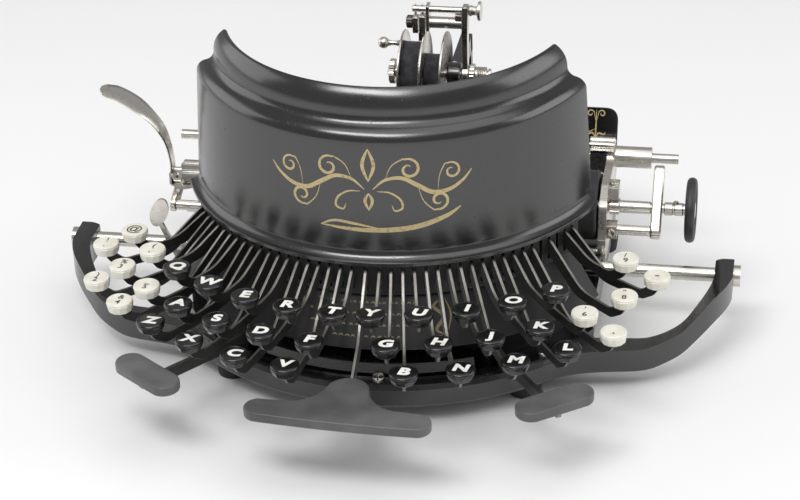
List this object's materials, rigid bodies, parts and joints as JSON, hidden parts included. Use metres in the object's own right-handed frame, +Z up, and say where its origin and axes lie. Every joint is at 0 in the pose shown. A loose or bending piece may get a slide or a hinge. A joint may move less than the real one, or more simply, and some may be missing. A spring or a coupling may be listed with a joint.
{
  "type": "typewriter",
  "caption": "Antique half-round manual typewriter: semicircular keyboard, curved type shield, sliding carriage with platen, and a ribbon mechanism on top.",
  "frame": {"origin": "on the table, under the middle of the machine's outline", "axes": "+X the typist's right, +Y the back of the machine, +Z up"},
  "size_m": [0.351, 0.2651, 0.163],
  "materials": {
    "black_enamel": "gloss black enamel, a little worn at the edges",
    "satin_black": "satin black with gilt ornament",
    "comb_black": "blackened machined casting",
    "pad_black": "satin dark grey stove enamel",
    "nickel": "nickel plate, slightly dulled",
    "steel": "plain ground steel",
    "platen_rubber": "hard aged rubber",
    "rubber": "matt rubber",
    "knob_black": "matt vulcanised rubber",
    "key_black": "black composition with white filled legend",
    "key_ivory": "ivory composition with dark filled legend",
    "ribbon_fabric": "inked cotton ribbon"
  },
  "bodies": {
    "root": {"base_frame": "black_enamel", "segment_comb": "comb_black", "type_bars": "steel", "type_shield": "black_enamel", "name_plate": "satin_black", "rubber_feet": "rubber", "frame_hardware": "nickel", "ribbon_stand": "nickel"},
    "shift_frame": {"shift_frame": "steel"},
    "carriage": {"carriage_frame": "nickel", "carriage_rods": "nickel", "paper_table": "black_enamel"},
    "platen": {"platen_roller": "platen_rubber", "platen_knob": "knob_black"},
    "feed_roller": {"feed_roller": "rubber"},
    "return_lever": {"return_lever": "nickel"},
    "space_bar": {"space_bar": "pad_black"},
    "shift_key_left": {"shift_key_left": "pad_black"},
    "shift_key_right": {"shift_key_right": "pad_black"},
    "ribbon_spool_left": {"ribbon_spool_left": "ribbon_fabric"},
    "ribbon_spool_right": {"ribbon_spool_right": "ribbon_fabric"},
    "ribbon_guide": {"ribbon_guide": "nickel"},
    "key_fig": {"key_fig": "key_ivory"},
    "key_comma": {"key_comma": "key_ivory"},
    "key_q": {"key_q": "key_black"},
    "key_w": {"key_w": "key_black"},
    "key_e": {"key_e": "key_black"},
    "key_r": {"key_r": "key_black"},
    "key_t": {"key_t": "key_black"},
    "key_y": {"key_y": "key_black"},
    "key_u": {"key_u": "key_black"},
    "key_i": {"key_i": "key_black"},
    "key_o": {"key_o": "key_black"},
    "key_p": {"key_p": "key_black"},
    "key_9": {"key_9": "key_ivory"},
    "key_exclaim": {"key_exclaim": "key_ivory"},
    "key_3": {"key_3": "key_ivory"},
    "key_5": {"key_5": "key_ivory"},
    "key_a": {"key_a": "key_black"},
    "key_s": {"key_s": "key_black"},
    "key_d": {"key_d": "key_black"},
    "key_f": {"key_f": "key_black"},
    "key_g": {"key_g": "key_black"},
    "key_h": {"key_h": "key_black"},
    "key_j": {"key_j": "key_black"},
    "key_k": {"key_k": "key_black"},
    "key_6": {"key_6": "key_ivory"},
    "key_8": {"key_8": "key_ivory"},
    "key_dash": {"key_dash": "key_ivory"},
    "key_2": {"key_2": "key_ivory"},
    "key_4": {"key_4": "key_ivory"},
    "key_z": {"key_z": "key_black"},
    "key_x": {"key_x": "key_black"},
    "key_c": {"key_c": "key_black"},
    "key_v": {"key_v": "key_black"},
    "key_b": {"key_b": "key_black"},
    "key_n": {"key_n": "key_black"},
    "key_m": {"key_m": "key_black"},
    "key_l": {"key_l": "key_black"},
    "key_dot": {"key_dot": "key_ivory"}
  },
  "joints": [
    {"name": "shift_slide", "type": "slide", "parent": "root", "child": "shift_frame", "axis": [0, 1, 0], "range_m": [0, 0.0045], "stiffness_N_per_m": 1500, "springref_m": -0.004},
    {"name": "carriage_slide", "type": "slide", "parent": "shift_frame", "child": "carriage", "axis": [1, 0, 0], "range_m": [-0.072, 0.064]},
    {"name": "platen_turn", "type": "hinge", "parent": "carriage", "child": "platen", "pos_m": [0.004, 0.065, 0.056], "axis": [1, 0, 0], "continuous": true},
    {"name": "feed_roller_turn", "type": "hinge", "parent": "carriage", "child": "feed_roller", "pos_m": [0.004, 0.078, 0.0366], "axis": [1, 0, 0], "continuous": true},
    {"name": "return_lever_swing", "type": "hinge", "parent": "carriage", "child": "return_lever", "pos_m": [-0.11, 0.065, 0.056], "axis": [1, 0, 0], "range_deg": [0, 25], "stiffness_Nm_per_rad": 0.3, "springref_deg": -20.05},
    {"name": "space_bar_press", "type": "hinge", "parent": "root", "child": "space_bar", "pos_m": [0, -0.04, 0.072], "axis": [1, 0, 0], "range_deg": [0, 5.5], "stiffness_Nm_per_rad": 0.5, "springref_deg": -17.19},
    {"name": "shift_left_press", "type": "hinge", "parent": "root", "child": "shift_key_left", "pos_m": [-0.05802, -0.0358, 0.031], "axis": [0.8554, -0.518, 0], "range_deg": [0, 5]},
    {"name": "shift_right_press", "type": "hinge", "parent": "root", "child": "shift_key_right", "pos_m": [0.05802, -0.0358, 0.031], "axis": [0.8554, 0.518, 0], "range_deg": [0, 5]},
    {"name": "ribbon_left_turn", "type": "hinge", "parent": "root", "child": "ribbon_spool_left", "pos_m": [0, 0.09, 0.115], "axis": [1, 0, 0], "continuous": true},
    {"name": "ribbon_right_turn", "type": "hinge", "parent": "root", "child": "ribbon_spool_right", "pos_m": [0.013, 0.09, 0.115], "axis": [1, 0, 0], "continuous": true},
    {"name": "ribbon_guide_tilt", "type": "hinge", "parent": "root", "child": "ribbon_guide", "pos_m": [0.029, 0.09, 0.115], "axis": [1, 0, 0], "range_deg": [-10, 10], "stiffness_Nm_per_rad": 0.2},
    {"name": "key_fig_press", "type": "hinge", "parent": "root", "child": "key_fig", "pos_m": [-0.08353, 0.00502, 0.072], "axis": [0.5498, -0.8353, 0], "range_deg": [0, 8], "stiffness_Nm_per_rad": 0.1, "springref_deg": -17.19},
    {"name": "key_comma_press", "type": "hinge", "parent": "root", "child": "key_comma", "pos_m": [-0.07408, -0.00717, 0.072], "axis": [0.6717, -0.7408, 0], "range_deg": [0, 8], "stiffness_Nm_per_rad": 0.1, "springref_deg": -17.19},
    {"name": "key_q_press", "type": "hinge", "parent": "root", "child": "key_q", "pos_m": [-0.06286, -0.01777, 0.072], "axis": [0.7777, -0.6286, 0], "range_deg": [0, 8], "stiffness_Nm_per_rad": 0.1, "springref_deg": -17.19},
    {"name": "key_w_press", "type": "hinge", "parent": "root", "child": "key_w", "pos_m": [-0.05015, -0.02652, 0.072], "axis": [0.8652, -0.5015, 0], "range_deg": [0, 8], "stiffness_Nm_per_rad": 0.1, "springref_deg": -17.19},
    {"name": "key_e_press", "type": "hinge", "parent": "root", "child": "key_e", "pos_m": [-0.03624, -0.0332, 0.072], "axis": [0.932, -0.3624, 0], "range_deg": [0, 8], "stiffness_Nm_per_rad": 0.1, "springref_deg": -17.19},
    {"name": "key_r_press", "type": "hinge", "parent": "root", "child": "key_r", "pos_m": [-0.02147, -0.03767, 0.072], "axis": [0.9767, -0.2147, 0], "range_deg": [0, 8], "stiffness_Nm_per_rad": 0.1, "springref_deg": -17.19},
    {"name": "key_t_press", "type": "hinge", "parent": "root", "child": "key_t", "pos_m": [-0.00619, -0.03981, 0.072], "axis": [0.9981, -0.0619, 0], "range_deg": [0, 8], "stiffness_Nm_per_rad": 0.1, "springref_deg": -17.19},
    {"name": "key_y_press", "type": "hinge", "parent": "root", "child": "key_y", "pos_m": [0.00619, -0.03981, 0.072], "axis": [0.9981, 0.0619, 0], "range_deg": [0, 8], "stiffness_Nm_per_rad": 0.1, "springref_deg": -17.19},
    {"name": "key_u_press", "type": "hinge", "parent": "root", "child": "key_u", "pos_m": [0.02147, -0.03767, 0.072], "axis": [0.9767, 0.2147, 0], "range_deg": [0, 8], "stiffness_Nm_per_rad": 0.1, "springref_deg": -17.19},
    {"name": "key_i_press", "type": "hinge", "parent": "root", "child": "key_i", "pos_m": [0.03624, -0.0332, 0.072], "axis": [0.932, 0.3624, 0], "range_deg": [0, 8], "stiffness_Nm_per_rad": 0.1, "springref_deg": -17.19},
    {"name": "key_o_press", "type": "hinge", "parent": "root", "child": "key_o", "pos_m": [0.05015, -0.02652, 0.072], "axis": [0.8652, 0.5015, 0], "range_deg": [0, 8], "stiffness_Nm_per_rad": 0.1, "springref_deg": -17.19},
    {"name": "key_p_press", "type": "hinge", "parent": "root", "child": "key_p", "pos_m": [0.06286, -0.01777, 0.072], "axis": [0.7777, 0.6286, 0], "range_deg": [0, 8], "stiffness_Nm_per_rad": 0.1, "springref_deg": -17.19},
    {"name": "key_9_press", "type": "hinge", "parent": "root", "child": "key_9", "pos_m": [0.08353, 0.00502, 0.072], "axis": [0.5498, 0.8353, 0], "range_deg": [0, 8], "stiffness_Nm_per_rad": 0.1, "springref_deg": -17.19},
    {"name": "key_exclaim_press", "type": "hinge", "parent": "root", "child": "key_exclaim", "pos_m": [-0.08625, 0.0094, 0.072], "axis": [0.506, -0.8625, 0], "range_deg": [0, 8], "stiffness_Nm_per_rad": 0.1, "springref_deg": -17.19},
    {"name": "key_3_press", "type": "hinge", "parent": "root", "child": "key_3", "pos_m": [-0.07744, -0.00327, 0.072], "axis": [0.6327, -0.7744, 0], "range_deg": [0, 8], "stiffness_Nm_per_rad": 0.1, "springref_deg": -17.19},
    {"name": "key_5_press", "type": "hinge", "parent": "root", "child": "key_5", "pos_m": [-0.06678, -0.01443, 0.072], "axis": [0.7443, -0.6678, 0], "range_deg": [0, 8], "stiffness_Nm_per_rad": 0.1, "springref_deg": -17.19},
    {"name": "key_a_press", "type": "hinge", "parent": "root", "child": "key_a", "pos_m": [-0.05454, -0.02382, 0.072], "axis": [0.8382, -0.5454, 0], "range_deg": [0, 8], "stiffness_Nm_per_rad": 0.1, "springref_deg": -17.19},
    {"name": "key_s_press", "type": "hinge", "parent": "root", "child": "key_s", "pos_m": [-0.04099, -0.03121, 0.072], "axis": [0.9121, -0.4099, 0], "range_deg": [0, 8], "stiffness_Nm_per_rad": 0.1, "springref_deg": -17.19},
    {"name": "key_d_press", "type": "hinge", "parent": "root", "child": "key_d", "pos_m": [-0.02647, -0.03643, 0.072], "axis": [0.9643, -0.2647, 0], "range_deg": [0, 8], "stiffness_Nm_per_rad": 0.1, "springref_deg": -17.19},
    {"name": "key_f_press", "type": "hinge", "parent": "root", "child": "key_f", "pos_m": [-0.01132, -0.03936, 0.072], "axis": [0.9936, -0.1132, 0], "range_deg": [0, 8], "stiffness_Nm_per_rad": 0.1, "springref_deg": -17.19},
    {"name": "key_g_press", "type": "hinge", "parent": "root", "child": "key_g", "pos_m": [0.01132, -0.03936, 0.072], "axis": [0.9936, 0.1132, 0], "range_deg": [0, 8], "stiffness_Nm_per_rad": 0.1, "springref_deg": -17.19},
    {"name": "key_h_press", "type": "hinge", "parent": "root", "child": "key_h", "pos_m": [0.02647, -0.03643, 0.072], "axis": [0.9643, 0.2647, 0], "range_deg": [0, 8], "stiffness_Nm_per_rad": 0.1, "springref_deg": -17.19},
    {"name": "key_j_press", "type": "hinge", "parent": "root", "child": "key_j", "pos_m": [0.04099, -0.03121, 0.072], "axis": [0.9121, 0.4099, 0], "range_deg": [0, 8], "stiffness_Nm_per_rad": 0.1, "springref_deg": -17.19},
    {"name": "key_k_press", "type": "hinge", "parent": "root", "child": "key_k", "pos_m": [0.05454, -0.02382, 0.072], "axis": [0.8382, 0.5454, 0], "range_deg": [0, 8], "stiffness_Nm_per_rad": 0.1, "springref_deg": -17.19},
    {"name": "key_6_press", "type": "hinge", "parent": "root", "child": "key_6", "pos_m": [0.06678, -0.01443, 0.072], "axis": [0.7443, 0.6678, 0], "range_deg": [0, 8], "stiffness_Nm_per_rad": 0.1, "springref_deg": -17.19},
    {"name": "key_8_press", "type": "hinge", "parent": "root", "child": "key_8", "pos_m": [0.07744, -0.00327, 0.072], "axis": [0.6327, 0.7744, 0], "range_deg": [0, 8], "stiffness_Nm_per_rad": 0.1, "springref_deg": -17.19},
    {"name": "key_dash_press", "type": "hinge", "parent": "root", "child": "key_dash", "pos_m": [0.08625, 0.0094, 0.072], "axis": [0.506, 0.8625, 0], "range_deg": [0, 8], "stiffness_Nm_per_rad": 0.1, "springref_deg": -17.19},
    {"name": "key_2_press", "type": "hinge", "parent": "root", "child": "key_2", "pos_m": [-0.08059, 0.0008, 0.072], "axis": [0.592, -0.8059, 0], "range_deg": [0, 8], "stiffness_Nm_per_rad": 0.1, "springref_deg": -17.19},
    {"name": "key_4_press", "type": "hinge", "parent": "root", "child": "key_4", "pos_m": [-0.07053, -0.0109, 0.072], "axis": [0.709, -0.7053, 0], "range_deg": [0, 8], "stiffness_Nm_per_rad": 0.1, "springref_deg": -17.19},
    {"name": "key_z_press", "type": "hinge", "parent": "root", "child": "key_z", "pos_m": [-0.05878, -0.0209, 0.072], "axis": [0.809, -0.5878, 0], "range_deg": [0, 8], "stiffness_Nm_per_rad": 0.1, "springref_deg": -17.19},
    {"name": "key_x_press", "type": "hinge", "parent": "root", "child": "key_x", "pos_m": [-0.04563, -0.02898, 0.072], "axis": [0.8898, -0.4563, 0], "range_deg": [0, 8], "stiffness_Nm_per_rad": 0.1, "springref_deg": -17.19},
    {"name": "key_c_press", "type": "hinge", "parent": "root", "child": "key_c", "pos_m": [-0.0314, -0.03494, 0.072], "axis": [0.9494, -0.314, 0], "range_deg": [0, 8], "stiffness_Nm_per_rad": 0.1, "springref_deg": -17.19},
    {"name": "key_v_press", "type": "hinge", "parent": "root", "child": "key_v", "pos_m": [-0.01642, -0.03864, 0.072], "axis": [0.9864, -0.1642, 0], "range_deg": [0, 8], "stiffness_Nm_per_rad": 0.1, "springref_deg": -17.19},
    {"name": "key_b_press", "type": "hinge", "parent": "root", "child": "key_b", "pos_m": [0.01642, -0.03864, 0.072], "axis": [0.9864, 0.1642, 0], "range_deg": [0, 8], "stiffness_Nm_per_rad": 0.1, "springref_deg": -17.19},
    {"name": "key_n_press", "type": "hinge", "parent": "root", "child": "key_n", "pos_m": [0.0314, -0.03494, 0.072], "axis": [0.9494, 0.314, 0], "range_deg": [0, 8], "stiffness_Nm_per_rad": 0.1, "springref_deg": -17.19},
    {"name": "key_m_press", "type": "hinge", "parent": "root", "child": "key_m", "pos_m": [0.04563, -0.02898, 0.072], "axis": [0.8898, 0.4563, 0], "range_deg": [0, 8], "stiffness_Nm_per_rad": 0.1, "springref_deg": -17.19},
    {"name": "key_l_press", "type": "hinge", "parent": "root", "child": "key_l", "pos_m": [0.05878, -0.0209, 0.072], "axis": [0.809, 0.5878, 0], "range_deg": [0, 8], "stiffness_Nm_per_rad": 0.1, "springref_deg": -17.19},
    {"name": "key_dot_press", "type": "hinge", "parent": "root", "child": "key_dot", "pos_m": [0.07053, -0.0109, 0.072], "axis": [0.709, 0.7053, 0], "range_deg": [0, 8], "stiffness_Nm_per_rad": 0.1, "springref_deg": -17.19}
  ],
  "couplings": [
    {"joint": "shift_left_press", "follows": "shift_slide", "rad_per_m": 19.39},
    {"joint": "shift_right_press", "follows": "shift_slide", "rad_per_m": 19.39},
    {"joint": "feed_roller_turn", "follows": "platen_turn", "ratio": -3.6}
  ]
}
